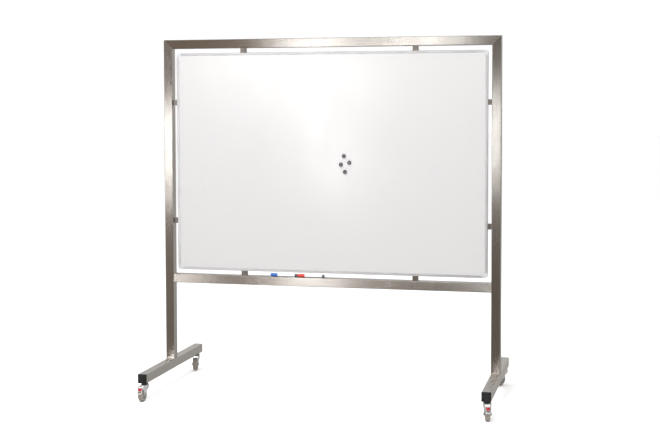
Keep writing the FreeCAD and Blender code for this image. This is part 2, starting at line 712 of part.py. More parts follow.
make_panel("writing_sheet", "front_skin", FRONT_FACE)
make_panel("board_core", "board_depth - 2 * profile_wall - front_skin - rear_skin",
           f"{FRONT_FACE} + front_skin")
make_panel("back_sheet", "rear_skin", f"{BACK_FACE} - rear_skin")
make_profile("board_frame_bottom", 0, PROFILE_WIDE, "lug_x", "0", BOARD_BOTTOM)
make_profile("board_frame_top", 180, PROFILE_WIDE, "lug_x", "0", BOARD_TOP)
make_profile("board_frame_left", 90, PROFILE_TALL, "lug_z", f"-{BOARD_WIDTH} / 2", BOARD_MIDDLE)
make_profile("board_frame_right", -90, PROFILE_TALL, "lug_z", f"{BOARD_WIDTH} / 2", BOARD_MIDDLE)
make_corners()
make_lugs()
make_lug_screws()

make_nuts()
for corner, (_, _, braked) in CASTORS.items():
    make_stem(corner)
    make_bearing(corner)
    make_fork(corner)
    make_axle(corner)
    make_wheel_centre(corner)
    make_tyre(corner)
    if braked:
        make_pedal(corner)

for number in ("one", "two", "three", "four"):
    make_magnet(number)
for colour in ("blue", "red"):
    make_marker(colour)

doc.recompute()
for item in doc.Objects:
    if "Invalid" in item.State or "Error" in item.State:
        raise RuntimeError(f"{item.Name} ({item.Label}) is {item.State}")
os.makedirs("parts", exist_ok=True)
for item in nodes:
    if item.Shape.isNull() or not item.Shape.isValid():
        raise RuntimeError(f"{item.Label} has no valid shape")
    item.Shape.exportStep(f"parts/{item.Label}.step")

whole = FreeCAD.BoundBox()
for item in nodes:
    whole.add(item.Shape.BoundBox)
print(f"{len(nodes)} nodes, box {whole}")
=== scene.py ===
"""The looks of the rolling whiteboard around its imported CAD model: metres, front faces -Y."""
import json
import math
import random

import bmesh
import bpy
from mathutils import Matrix, Vector


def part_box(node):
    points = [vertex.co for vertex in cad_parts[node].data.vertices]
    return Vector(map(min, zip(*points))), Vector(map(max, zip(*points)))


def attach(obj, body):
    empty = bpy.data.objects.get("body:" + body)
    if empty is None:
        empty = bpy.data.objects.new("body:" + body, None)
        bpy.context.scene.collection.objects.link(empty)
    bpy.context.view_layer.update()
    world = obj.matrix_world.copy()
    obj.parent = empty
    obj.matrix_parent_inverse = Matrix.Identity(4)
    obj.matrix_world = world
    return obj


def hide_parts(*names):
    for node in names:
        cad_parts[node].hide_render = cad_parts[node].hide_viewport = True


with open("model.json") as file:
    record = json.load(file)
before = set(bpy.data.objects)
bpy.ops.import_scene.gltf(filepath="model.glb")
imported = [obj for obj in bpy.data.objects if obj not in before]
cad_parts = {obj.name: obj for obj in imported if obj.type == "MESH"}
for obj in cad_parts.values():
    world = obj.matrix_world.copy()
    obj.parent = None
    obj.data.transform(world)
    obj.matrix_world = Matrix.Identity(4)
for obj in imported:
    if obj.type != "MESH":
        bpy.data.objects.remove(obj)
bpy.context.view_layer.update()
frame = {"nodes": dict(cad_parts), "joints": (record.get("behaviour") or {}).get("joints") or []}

MM = 0.001
X, Y, Z = range(3)
JOINTS = {joint["name"]: joint for joint in frame["joints"]}
CORNERS = ("front_left", "front_right", "rear_left", "rear_right")
POSTS = ("left_post", "right_post")
RAILS = ("top_rail", "lower_rail")
SHEET = ("writing_sheet",)
SMOOTH_ANGLE = math.radians(38)
QUARTER_TURN = math.pi / 2

# the camera, fitted to the photograph's edges
CAMERA_PLACE = (1.654, -6.717, 1.604)
CAMERA_AZIMUTH = 13.715
CAMERA_DOWN = 2.836
CAMERA_ROLL = -0.133
CAMERA_LENS = 68.82
CAMERA_SHIFT = -0.0751

# the bright patches behind the camera: x, z, width, height, watts, lean, what they spare
WINDOW_Y = -6.9
WINDOWS = {
    "window_middle": (-1.90, 1.12, 0.80, 1.60, 30, 0, POSTS + SHEET),
    "window_beside": (-1.30, 1.55, 0.75, 1.10, 5, 0, POSTS + SHEET),
    "window_high": (-0.62, 2.95, 1.05, 1.25, 20, 0, POSTS + SHEET),
    "window_left": (-3.57, 1.07, 0.90, 1.15, 26, 0, SHEET + ("top_rail",)),
    "window_right": (0.30, 1.24, 0.80, 1.15, 14, 0, SHEET + ("top_rail",)),
    "sheen_tip": (-1.66, 1.02, 0.46, 1.05, 11, 22, POSTS + RAILS),
    "sheen_top": (-2.10, 1.97, 2.20, 0.95, 24, -8, POSTS + RAILS),
}

# what mirror-like surfaces see of the room
WARM_CORNER = (0.20, 0.14, 0.10, 1)
DIM_FRONT = (0.108, 0.108, 0.096, 1)
WALL_LOW = (0.36, 0.345, 0.325, 1)
WALL_HIGH = (0.60, 0.59, 0.575, 1)
CEILING = (0.62, 0.62, 0.61, 1)
STUDIO_STRENGTH = 1.06

# castor sizes in mm, as in the CAD
CHEEK_MIDDLE = 15.25
CHEEK_OUTER = 16.5
SHEET_METAL = 2.5
PEDAL_HALF_WIDTH = 11.9
PIN = (20, 40.5)
LIP_TILT = math.radians(15)


# ---- camera and light -------------------------------------------------------------------

def make_camera():
    """The camera stands to the right of the middle at eye height and looks slightly down."""
    data = bpy.data.cameras.new("camera")
    data.sensor_width = 36
    data.lens = CAMERA_LENS
    data.shift_y = CAMERA_SHIFT
    camera = bpy.data.objects.new("camera", data)
    turn = Matrix.Rotation(math.radians(CAMERA_AZIMUTH), 4, "Z")
    tilt = Matrix.Rotation(math.radians(90 - CAMERA_DOWN), 4, "X")
    roll = Matrix.Rotation(math.radians(CAMERA_ROLL), 4, "Z")
    camera.matrix_world = Matrix.Translation(CAMERA_PLACE) @ turn @ tilt @ roll
    bpy.context.scene.collection.objects.link(camera)
    bpy.context.scene.camera = camera


def make_area_light(name, place, target, width, height, watts, lean=0.0):
    data = bpy.data.lights.new(name, "AREA")
    data.shape = "RECTANGLE"
    data.size = width
    data.size_y = height
    data.energy = watts
    light = bpy.data.objects.new(name, data)
    facing = (Vector(target) - Vector(place)).to_track_quat("-Z", "Y").to_matrix().to_4x4()
    roll = Matrix.Rotation(math.radians(lean), 4, "Z")
    light.matrix_world = Matrix.Translation(place) @ facing @ roll
    bpy.context.scene.collection.objects.link(light)
    return light


def make_soft_box(name, place, target, width, height, watts):
    """A broad area light for matt surfaces, which mirror-like ones don't see."""
    light = make_area_light(name, place, target, width, height, watts)
    light.visible_glossy = False


def make_window(name, x, z, width, height, watts, lean, spared):
    """An oval bright patch behind the camera, seen only in mirror-like surfaces."""
    light = make_area_light(name, (x, WINDOW_Y, z), (x, 0, z), width, height, watts, lean)
    light.data.shape = "ELLIPSE"
    light.visible_diffuse = False
    unlit = bpy.data.collections.new(f"{name}_spares")
    light.light_linking.receiver_collection = unlit
    for node in spared:
        unlit.objects.link(frame["nodes"][node])
    for entry in unlit.collection_objects:
        entry.light_linking.link_state = "EXCLUDE"


def make_lights():
    """Large soft lights for the room, and the windows that the steel and the enamel mirror."""
    make_soft_box("overhead", (0, -0.4, 5.2), (0, 0.2, 0), 5.0, 4.5, 70)
    make_soft_box("front_fill", (-0.6, -2.6, 4.6), (0, 0, 1.95), 3.0, 1.0, 185)
    make_soft_box("back_fill", (2.0, 6.0, 4.6), (0, 0, 1.1), 4.0, 2.5, 40)
    for name, settings in WINDOWS.items():
        make_window(name, *settings)


def make_world():
    """A plain white studio, and a dim warm room that only mirror-like surfaces reflect."""
    world = bpy.data.worlds.new("studio")
    bpy.context.scene.world = world
    world.use_nodes = True
    paint = Tree(world.node_tree)
    world.node_tree.nodes.clear()
    way = paint.add("Separate XYZ", "SeparateXYZ",
                    Vector=paint.add("way", "TexCoord").outputs["Generated"])
    side = paint.spread(way.outputs["X"], -0.35, 0.05)
    front = paint.mix(side, WARM_CORNER, DIM_FRONT)
    aside = paint.spread(paint.maths("ABSOLUTE", way.outputs["X"]), 0.42, 0.62)
    height = paint.spread(way.outputs["Z"], -0.42, 0.16)
    wall = paint.mix(height, WALL_LOW, WALL_HIGH)
    around = paint.mix(aside, front, wall)
    behind = paint.spread(way.outputs["Y"], -0.5, 0.3)
    walls = paint.mix(behind, around, wall)
    above = paint.spread(way.outputs["Z"], 0.15, 0.7)
    room = paint.mix(above, walls, CEILING)
    white = paint.add("studio", "Background", Color=(1, 1, 1, 1), Strength=STUDIO_STRENGTH)
    reflected = paint.add("room", "Background", Color=room, Strength=1.0)
    glossy_ray = paint.add("ray", "LightPath").outputs["Is Glossy Ray"]
    either = paint.add("either", "MixShader", Fac=glossy_ray)
    paint.feed(either.inputs[1], white.outputs[0])
    paint.feed(either.inputs[2], reflected.outputs[0])
    out = paint.add("out", "OutputWorld")
    paint.feed(out.inputs["Surface"], either.outputs[0])


# ---- node trees -------------------------------------------------------------------------

class Tree:
    """Short calls that add nodes to a node tree."""

    def __init__(self, tree):
        self.tree = tree

    def feed(self, socket, value):
        if isinstance(value, bpy.types.NodeSocket):
            self.tree.links.new(value, socket)
        else:
            socket.default_value = value

    def add(self, label, kind, settings=(), **inputs):
        made = self.tree.nodes.new(f"ShaderNode{kind}")
        made.label = label
        for key, value in dict(settings).items():
            setattr(made, key, value)
        for key, value in inputs.items():
            self.feed(made.inputs[key.replace("_", " ")], value)
        return made

    def spread(self, value, low, high, to_low=0.0, to_high=1.0):
        made = self.add("spread", "MapRange", {"interpolation_type": "SMOOTHSTEP"}, Value=value,
                        From_Min=low, From_Max=high, To_Min=to_low, To_Max=to_high)
        return made.outputs["Result"]

    def mix(self, factor, first, second):
        made = self.add("mix", "Mix", {"data_type": "RGBA"})
        for number, value in ((0, factor), (6, first), (7, second)):
            self.feed(made.inputs[number], value)
        return made.outputs[2]

    def maths(self, how, first, second=0.0):
        made = self.add(how.lower(), "Math", {"operation": how})
        self.feed(made.inputs[0], first)
        self.feed(made.inputs[1], second)
        return made.outputs[0]


class Finish(Tree):
    """A material under construction. Its patterns lie in the piece's own coordinates, in metres."""

    def __init__(self, name, metal=0.0, **constants):
        self.material = bpy.data.materials.new(name)
        self.material.use_nodes = True
        super().__init__(self.material.node_tree)
        self.shader = self.tree.nodes["Principled BSDF"]
        self.shader.inputs["Metallic"].default_value = metal
        for key, value in constants.items():
            self.shader.inputs[key.replace("_", " ")].default_value = value
        self.place = self.add("place", "TexCoord").outputs["Object"]
        self.relief = None

    def noise(self, scale, stretch=(1, 1, 1), detail=4.0, roughness=0.55, distortion=0.0):
        spot = self.add("stretch", "Mapping", Vector=self.place, Scale=stretch)
        made = self.add("noise", "TexNoise", Vector=spot.outputs[0], Scale=scale, Detail=detail,
                        Roughness=roughness, Distortion=distortion)
        return made.outputs[0]

    def cells(self, scale, stretch=(1, 1, 1)):
        """Crystals of different grey."""
        spot = self.add("stretch", "Mapping", Vector=self.place, Scale=stretch)
        made = self.add("cells", "TexVoronoi", Vector=spot.outputs[0], Scale=scale)
        return self.add("grey", "RGBToBW", Color=made.outputs["Color"]).outputs[0]

    def edges(self, radius, low=0.004, high=0.12):
        """1 where the surface bends within a radius of an edge, 0 on flat ground."""
        bent = self.add("rounded", "Bevel", {"samples": 4}, Radius=radius).outputs[0]
        flat = self.add("flat", "NewGeometry").outputs["Normal"]
        match = self.add("match", "VectorMath", {"operation": "DOT_PRODUCT"})
        self.feed(match.inputs[0], bent)
        self.feed(match.inputs[1], flat)
        return self.spread(self.maths("SUBTRACT", 1.0, match.outputs["Value"]), low, high)

    def colour(self, value):
        self.feed(self.shader.inputs["Base Color"], value)

    def rough(self, value):
        self.feed(self.shader.inputs["Roughness"], value)

    def raise_by(self, height, depth, strength=1.0):
        """Adds relief of a real depth, in metres, on top of any earlier relief."""
        bump = self.add("relief", "Bump", Height=height, Distance=depth, Strength=strength)
        if self.relief is not None:
            self.feed(bump.inputs["Normal"], self.relief)
        self.relief = bump.outputs[0]
        self.feed(self.shader.inputs["Normal"], self.relief)


def streaked(axis, across=1.0, along=0.012):
    """A stretch for patterns that run along one axis."""
    return tuple(along if number == axis else across for number in range(3))


# ---- materials --------------------------------------------------------------------------

def stainless_tube(name, axis):
    """Satin stainless steel, brushed along the tube, with handling marks, and edge wear with a painted
    highlight on the corners.
    """
    steel = Finish(name, metal=1.0, Anisotropic=0.9, Anisotropic_Rotation=0.25)
    length = steel.add("length", "CombineXYZ", **{"XYZ"[axis]: 1.0}).outputs[0]
    brushing = steel.add("brushing", "VectorTransform", Vector=length,
                         settings={"convert_from": "OBJECT", "convert_to": "WORLD"}).outputs[0]
    steel.feed(steel.shader.inputs["Tangent"], brushing)
    fine = steel.noise(900, streaked(axis, along=0.008), detail=3)
    coarse = steel.noise(85, streaked(axis, along=0.012), detail=3)
    clouds = steel.noise(3.5, streaked(axis, along=0.6), detail=5, distortion=0.4)
    streaks = steel.mix(coarse, (0.555, 0.53, 0.50, 1), (0.615, 0.595, 0.57, 1))
    tinted = steel.mix(steel.spread(clouds, 0.42, 0.72, 0.0, 0.3), streaks,
                       (0.50, 0.455, 0.40, 1))
    # painted highlight: the rounded corners are mixed towards a lighter steel, partly as wear and
    # partly as a painted edge highlight
    lightened = steel.mix(steel.maths("MULTIPLY", steel.edges(1.6 * MM), 0.4), tinted,
                     (0.72, 0.70, 0.68, 1))
    steel.colour(lightened)
    marks = steel.spread(clouds, 0.35, 0.75, 0.21, 0.27)
    steel.rough(steel.maths("ADD", marks, steel.spread(fine, 0.3, 0.7, -0.025, 0.03)))
    steel.raise_by(fine, 0.01 * MM, 0.12)
    return steel.material


def brushed_metal(name, light, dark, axis, rough=(0.28, 0.42)):
    """A drawn or brushed metal part with streaks along one axis, and edges painted brighter as wear
    and as a painted highlight.
    """
    metal = Finish(name, metal=1.0)
    streaks = metal.noise(500, streaked(axis), detail=4)
    clouds = metal.noise(9, detail=5)
    shade = metal.mix(streaks, dark, light)
    stained = metal.mix(metal.spread(clouds, 0.45, 0.75, 0, 0.5), shade, dark)
    # painted highlight: the edges are mixed towards the light colour, partly as wear and partly as a
    # painted edge highlight
    metal.colour(metal.mix(metal.maths("MULTIPLY", metal.edges(0.8 * MM), 0.6), stained, light))
    metal.rough(metal.spread(streaks, 0.25, 0.75, *rough))
    metal.raise_by(streaks, 0.02 * MM, 0.6)
    return metal.material


def pressed_metal(name, light, dark, rough, mottle=60, metal=1.0):
    """A plated or pressed metal part: faint waves, mottled plating and rubbed edges."""
    plate = Finish(name, metal=metal)
    waves = plate.noise(mottle, detail=3)
    specks = plate.noise(mottle * 14, detail=4)
    shade = plate.mix(plate.spread(waves, 0.35, 0.7), light, dark)
    rubbed = plate.maths("MULTIPLY", plate.edges(0.6 * MM), 0.7)
    plate.colour(plate.mix(rubbed, shade, light))
    plate.rough(plate.spread(specks, 0.3, 0.75, *rough))
    plate.raise_by(waves, 0.15 * MM, 0.35)
    plate.raise_by(specks, 0.01 * MM, 0.5)
    return plate.material


def moulded_plastic(name, colour, rough=(0.3, 0.45), grain=0.03, wear=0.25, specular=0.5):
    """Moulded plastic: a fine spark-eroded grain, faint flow shading and rubbed edges."""
    plastic = Finish(name, Specular_IOR_Level=specular)
    flow = plastic.noise(22, detail=4, distortion=0.5)
    grains = plastic.noise(1900, detail=2)
    darker = tuple(0.86 * part for part in colour) + (1,)
    lighter = tuple(min(1.0, 1.06 * part + 0.012) for part in colour) + (1,)
    shade = plastic.mix(plastic.spread(flow, 0.3, 0.7), darker, lighter)
    rubbed = tuple(min(1.0, 1.15 * part + 0.05) for part in colour) + (1,)
    edge = plastic.maths("MULTIPLY", plastic.edges(0.7 * MM), wear)
    plastic.colour(plastic.mix(edge, shade, rubbed))
    plastic.rough(plastic.spread(flow, 0.3, 0.7, *rough))
    plastic.raise_by(grains, grain * MM, 0.6)
    return plastic.material


def enamel_surface(name):
    """Glossy white enamel with a faint orange peel and the haze of wiped marker ink."""
    enamel = Finish(name, Specular_IOR_Level=0.45)
    peel = enamel.noise(260, detail=2)
    wipes = enamel.noise(5.5, (1.0, 1.0, 0.45), detail=6, roughness=0.6, distortion=1.2)
    smears = enamel.noise(34, (0.35, 1.0, 1.0), detail=4, distortion=0.8)
    hazy, smeared = enamel.spread(wipes, 0.48, 0.78), enamel.spread(smears, 0.4, 0.7)
    haze = enamel.maths("MULTIPLY", hazy, smeared)
    enamel.colour(enamel.mix(haze, (0.455, 0.447, 0.445, 1), (0.438, 0.431, 0.436, 1)))
    enamel.rough(enamel.spread(wipes, 0.3, 0.75, 0.13, 0.22))
    enamel.raise_by(peel, 0.012 * MM, 0.35)
    return enamel.material


def galvanised_sheet(name):
    """Zinc-coated steel: crystal spangles of different shade and gloss."""
    zinc = Finish(name, metal=1.0)
    large = zinc.maths("MULTIPLY", zinc.cells(48, (1, 1, 0.8)), 0.7)
    small = zinc.maths("MULTIPLY", zinc.cells(130), 0.3)
    both = zinc.maths("ADD", large, small)
    clouds = zinc.noise(2.2, detail=5)
    shade = zinc.mix(zinc.spread(both, 0.25, 0.75), (0.57, 0.585, 0.60, 1), (0.67, 0.685, 0.695, 1))
    zinc.colour(zinc.mix(zinc.spread(clouds, 0.45, 0.75, 0, 0.25), shade, (0.60, 0.595, 0.575, 1)))
    zinc.rough(zinc.spread(both, 0.2, 0.8, 0.38, 0.48))
    zinc.raise_by(both, 0.02 * MM, 0.2)
    return zinc.material


def tyre_rubber(name):
    """Grey-brown rubber, dusty and scuffed where it rolls."""
    rubber = Finish(name, Specular_IOR_Level=0.3)
    dust = rubber.noise(120, detail=6, roughness=0.7)
    scuffs = rubber.noise(420, detail=3)
    shade = rubber.mix(rubber.spread(dust, 0.35, 0.7), (0.165, 0.145, 0.125, 1),
                       (0.30, 0.265, 0.23, 1))
    lightened = rubber.spread(scuffs, 0.58, 0.72, 0, 0.6)
    rubber.colour(rubber.mix(lightened, shade, (0.42, 0.38, 0.34, 1)))
    rubber.rough(rubber.spread(dust, 0.3, 0.7, 0.62, 0.86))
    rubber.raise_by(scuffs, 0.12 * MM, 0.5)
    return rubber.material


def paper_honeycomb(name):
    """The board's kraft paper core, seen only at its edge."""
    paper = Finish(name, Specular_IOR_Level=0.2)
    fibres = paper.noise(300, (1, 1, 0.2), detail=5)
    paper.colour(paper.mix(fibres, (0.42, 0.30, 0.18, 1), (0.62, 0.48, 0.32, 1)))
    paper.rough(paper.spread(fibres, 0.3, 0.7, 0.8, 0.95))
    paper.raise_by(fibres, 0.1 * MM, 0.6)
    return paper.material


def weld_metal(name):
    """A weld bead: bright ripples with straw and blue heat tint."""
    weld = Finish(name, metal=1.0)
    tint = weld.noise(90, detail=3, distortion=0.6)
    specks = weld.noise(900, detail=3)
    warm = weld.mix(weld.spread(tint, 0.35, 0.6), (0.66, 0.63, 0.58, 1), (0.56, 0.44, 0.28, 1))
    weld.colour(weld.mix(weld.spread(tint, 0.6, 0.75), warm, (0.30, 0.33, 0.42, 1)))
    weld.rough(weld.spread(specks, 0.3, 0.7, 0.28, 0.5))
    weld.raise_by(specks, 0.05 * MM, 0.5)
    return weld.material


def marker_barrel(name, ink, start):
    """A white barrel with printed rings and an inked nib, whose marker lies along X from its start."""
    barrel = Finish(name, Specular_IOR_Level=0.5)
    spot = barrel.add("spot", "SeparateXYZ", Vector=barrel.place).outputs["X"]
    along = barrel.maths("SUBTRACT", spot, start)
    flow = barrel.noise(60, detail=3)
    white = barrel.mix(barrel.spread(flow, 0.3, 0.7), (0.80, 0.81, 0.83, 1), (0.88, 0.89, 0.90, 1))
    printed = barrel.mix(barrel.maths("LESS_THAN", along, 16.5 * MM), white, ink)
    rings = ((46 * MM, 46.8 * MM), (49 * MM, 49.8 * MM), (127.5 * MM, 128.5 * MM))
    for low, high in rings:
        rising = barrel.maths("GREATER_THAN", along, low)
        falling = barrel.maths("LESS_THAN", along, high)
        printed = barrel.mix(barrel.maths("MULTIPLY", rising, falling), printed, ink)
    barrel.colour(printed)
    barrel.rough(barrel.spread(flow, 0.3, 0.7, 0.18, 0.32))
    barrel.raise_by(flow, 0.03 * MM, 0.3)
    return barrel.material


def pale_floor(name):
    """A pale, slightly uneven studio floor."""
    floor = Finish(name, Specular_IOR_Level=0.2)
    clouds = floor.noise(0.8, detail=4)
    floor.colour(floor.mix(clouds, (0.97, 0.97, 0.968, 1), (0.985, 0.985, 0.983, 1)))
    floor.rough(floor.spread(clouds, 0.3, 0.7, 0.7, 0.85))
    floor.raise_by(floor.noise(60, detail=3), 0.2 * MM, 0.1)
    return floor.material


# ---- mesh helpers -----------------------------------------------------------------------

def new_piece(name, mesh_builder, place, material, body, instead_of=()):
    """Turns a mesh builder into an object that rides on a body and stands for CAD nodes.

    Like the CAD nodes, the object sits at the origin, and its place is in its mesh.
    """
    data = bpy.data.meshes.new(name)
    shape = bmesh.new()
    mesh_builder(shape)
    bmesh.ops.recalc_face_normals(shape, faces=shape.faces)
    bmesh.ops.transform(shape, matrix=place, verts=shape.verts)
    shape.to_mesh(data)
    shape.free()
    data.shade_smooth()
    data.set_sharp_from_angle(angle=SMOOTH_ANGLE)
    data.materials.append(material)
    piece = bpy.data.objects.new(name, data)
    bpy.context.scene.collection.objects.link(piece)
    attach(piece, body)
    if instead_of:
        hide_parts(*instead_of)
    return piece


def add_bevel(piece, width, segments=2, angle=40):
    """Rounds a piece's sharp edges."""
    bevel = piece.modifiers.new("rounded_edges", "BEVEL")
    bevel.width = width
    bevel.segments = segments
    bevel.limit_method = "ANGLE"
    bevel.angle_limit = math.radians(angle)
    bevel.harden_normals = False
    return bevel


def ring_of(shape, points):
    return [shape.verts.new(point) for point in points]


def join_rings(shape, first, second):
    """Faces between two rings of points; either may be a single point."""
    count = max(len(first), len(second))
    for index in range(count):
        following = (index + 1) % count
        corners = [first[index % len(first)], first[following % len(first)],
                   second[following % len(second)], second[index % len(second)]]
        kept = []
        for corner in corners:
            if corner not in kept:
                kept.append(corner)
        if len(kept) > 2:
            shape.faces.new(kept)


def lathe(shape, profile, spokes=56, place=Matrix(), closed=False):
    """Turns a line of (radius, height) points about Z. A radius of 0 is a single point."""
    rings = []
    for radius, height in profile:
        if radius == 0:
            points = [place @ Vector((0, 0, height))]
        else:
            angles = [2 * math.pi * step / spokes for step in range(spokes)]
            points = [place @ Vector((radius * math.cos(a), radius * math.sin(a), height))
                      for a in angles]
        rings.append(ring_of(shape, points))
    for first, second in zip(rings, rings[1:]):
        join_rings(shape, first, second)
    if closed:
        join_rings(shape, rings[-1], rings[0])


def arc(centre, radius, start, end, steps=5):
    """Points on an arc, in degrees, both ends included."""
    for step in range(steps + 1):
        angle = math.radians(start + (end - start) * step / steps)
        yield (centre[0] + radius * math.cos(angle), centre[1] + radius * math.sin(angle))


def prism(shape, points, low, high, place=Matrix()):
    """A solid between two copies of a flat outline, at two heights."""
    bottom = ring_of(shape, [place @ Vector((x, y, low)) for x, y in points])
    top = ring_of(shape, [place @ Vector((x, y, high)) for x, y in points])
    join_rings(shape, bottom, top)
    shape.faces.new(list(reversed(bottom)))
    shape.faces.new(top)


def in_mm(points):
    """A line of points given in mm, in metres."""
    return [(across * MM, along * MM) for across, along in points]


def hexagon(radius):
    return [(radius * math.cos(math.radians(60 * step)),
             radius * math.sin(math.radians(60 * step))) for step in range(6)]


def chamfered_hexagon(shape, radius, low, high, chamfer, place=Matrix()):
    """A hex head or nut whose corners are turned down at both faces."""
    inner = radius * 0.90
    rings = []
    sizes = (inner, radius, radius, inner)
    heights = (low, low + chamfer, high - chamfer, high)
    for size, height in zip(sizes, heights):
        rings.append(ring_of(shape, [place @ Vector((x, y, height)) for x, y in hexagon(size)]))
    for first, second in zip(rings, rings[1:]):
        join_rings(shape, first, second)
    shape.faces.new(list(reversed(rings[0])))
    shape.faces.new(rings[-1])


# ---- castors ----------------------------------------------------------------------------

class Castor:
    """Where one castor stands: stem frame (X along the trail) and wheel frame (Z along the axle)."""

    def __init__(self, corner):
        stem = Vector(JOINTS[f"castor_{corner}_swivel"]["pos_m"])
        wheel = Vector(JOINTS[f"wheel_{corner}_spin"]["pos_m"])
        trail = wheel - stem
        turn = Matrix.Rotation(math.atan2(trail.y, trail.x), 4, "Z")
        self.stem_frame = Matrix.Translation((stem.x, stem.y, 0)) @ turn
        self.wheel_frame = (Matrix.Translation(wheel) @ turn
                            @ Matrix.Rotation(QUARTER_TURN, 4, "X"))
        self.braked = corner.startswith("front")


def fork_half_section(braked):
    """The sheet's run from the crown to an axle boss: (y, z, rear x, front x), in mm."""
    crown_front = 38
    nose = 62 if braked else 40
    reach = nose - crown_front
    yield 0, 85.6, -17, crown_front
    yield 8, 85.6, -17, crown_front
    yield 11.5, 85.4, -17, crown_front + reach * 0.1
    yield 13.6, 84.2, -17, crown_front + reach * 0.35
    yield 14.9, 82.2, -16.6, crown_front + reach * 0.75
    cheek = [(79.4, -15.6, nose - 0.6), (75, -12.5, nose), (71, -8.0, nose - 1.5)]
    if braked:
        cheek += [(66, -1.5, nose - 5.5), (60, 6.0, nose - 10.5), (53, 13.5, 49)]
    else:
        cheek += [(66, -1.5, 41), (60, 6.0, 42), (53, 13.5, 43.5)]
    cheek += [(46, 18.5, 47.5), (38, 21.5, 46.5), (33, 23.4, 44.6), (29.5, 26.5, 41.5), (27, 31, 37)]
    for height, rear, front in cheek:
        yield CHEEK_MIDDLE, height, rear, front


def shoulder(x, z):
    """How far, in mm, the fork's side bulges out to meet the round crown above it."""
    crown_radius, top, foot = 22.4, 84.0, 50.0
    reach = math.sqrt(max(0.0, crown_radius ** 2 - x ** 2)) - CHEEK_MIDDLE
    share = min(1.0, max(0.0, (z - foot) / (top - foot)))
    return max(0.0, reach) * share * share * (3 - 2 * share)


def fork_shell(braked):
    """A builder for the fork's mid surface: one pressed sheet, round-shouldered under its crown."""
    columns = 21

    def build(shape):
        half = list(fork_half_section(braked))
        rows = [(-y, z, back, front) for y, z, back, front in reversed(half[1:])] + half
        grid = []
        for y, z, back, front in rows:
            line = []
            for column in range(columns):
                share = column / (columns - 1)
                x = back + (front - back) * share
                bulge = shoulder(x, z) * y / CHEEK_MIDDLE
                line.append(shape.verts.new(Vector((x, y + bulge, z)) * MM))
            grid.append(line)
        for first, second in zip(grid, grid[1:]):
            for column in range(columns - 1):
                shape.faces.new([first[column], first[column + 1],
                                 second[column + 1], second[column]])
    return build


def fork_crown(shape):
    """The round crown: a dished plate with a rolled rim over the ball race."""
    profile = [(6.1, 84.2), (6.1, 86.6), (9, 86.9), (15, 86.9), (18, 86.4), (21.5, 86.2),
               (23.2, 85.9), (23.9, 85.0), (23.6, 84.0), (22.5, 83.5), (18, 83.4), (10, 83.6)]
    lathe(shape, in_mm(profile), closed=True)


def ball_race(shape):
    """The swivel ring: an upper cup with a rolled edge, a seal line and a lower cup."""
    profile = [(6.05, 87.4), (17.2, 87.4), (18.4, 88.0), (18.6, 89.0), (18.0, 89.6), (17.6, 90.0),
               (18.2, 90.4), (18.9, 91.2), (18.9, 92.4), (18.2, 93.4), (16.6, 93.9), (6.05, 93.9)]
    lathe(shape, in_mm(profile), closed=True)


def axle_bolt(shape):
    """The axle bolt along the wheel frame's Z: chamfered head, washers, nut and thread end."""
    seat = CHEEK_OUTER + 0.9
    shank = [(0, -CHEEK_OUTER), (3.95, -CHEEK_OUTER), (3.95, CHEEK_OUTER), (0, CHEEK_OUTER)]
    washer = [(4, CHEEK_OUTER), (7.9, CHEEK_OUTER), (8.1, CHEEK_OUTER + 0.3),
              (8.0, CHEEK_OUTER + 0.8), (4, seat)]
    thread_end = [(3.4, seat + 3.3), (3.2, seat + 3.9), (0, seat + 4.0)]
    lathe(shape, in_mm(shank), 32)
    for side in (-1, 1):
        flip = Matrix.Rotation(0 if side > 0 else math.pi, 4, "X")
        lathe(shape, in_mm(washer), 40, flip)
        chamfered_hexagon(shape, 7.4 * MM, seat * MM, (seat + 3.5) * MM, 0.6 * MM, flip)
        lathe(shape, in_mm(thread_end), 24, flip)


def wheel_centre(shape):
    """The moulded centre: rim with lips, ribbed web and a stepped hub."""
    rim = [(24.2, 4.2), (24.4, 10.6), (25.0, 12.1), (26.0, 12.4), (27.2, 12.3), (27.9, 11.8)]
    hub = [(11.4, 4.4), (10.7, 12.2), (9.9, 13.5), (5.6, 13.6), (4.1, 13.2)]
    upper = list(reversed(hub)) + rim
    lower = [(radius, -height) for radius, height in reversed(upper)]
    lathe(shape, in_mm(upper + lower), closed=True)
    rib = in_mm([(10.6, -0.9), (24.6, -0.7), (24.6, 0.7), (10.6, 0.9)])
    web_face, rib_top = 4.0 * MM, 9.6 * MM
    spokes = 6
    for low, high in ((-rib_top, -web_face), (web_face, rib_top)):
        for number in range(spokes):
            turn = Matrix.Rotation(2 * math.pi * number / spokes, 4, "Z")
            prism(shape, rib, low, high, turn)


def tyre(shape):
    """The tyre: rounded tread with a mould line, and a shallow step on each side wall."""
    half = [(28.0, 12.3), (30.2, 12.45), (31.0, 12.2), (31.6, 12.35), (32.6, 11.7)]
    half += [(27.9 + x, y) for x, y in arc((0, 2.6), 9.4, 62, 12, 6)]
    half += [(37.38, 2.2), (37.45, 0.5), (37.5, 0.2)]
    profile = half + [(radius, -height) for radius, height in reversed(half)]
    lathe(shape, in_mm(profile), 80, closed=True)


def bent_bar(shape, inner, outer, width, start, end, steps=14, crown=0.0):
    """A bar bent about the axle (Y), between two radii and two angles above the trail direction."""
    rings = []
    for step in range(steps + 1):
        angle = math.radians(start + (end - start) * step / steps)
        across = []
        for radius, side in ((inner, -1), (inner, 1), (outer, 1), (outer + crown, 0.35),
                             (outer + crown, -0.35), (outer, -1)):
            across.append(Vector((radius * math.cos(angle), side * width / 2,
                                  radius * math.sin(angle))) * MM)
        rings.append(ring_of(shape, across))
    for first, second in zip(rings, rings[1:]):
        join_rings(shape, first, second)
    shape.faces.new(list(reversed(rings[0])))
    shape.faces.new(rings[-1])


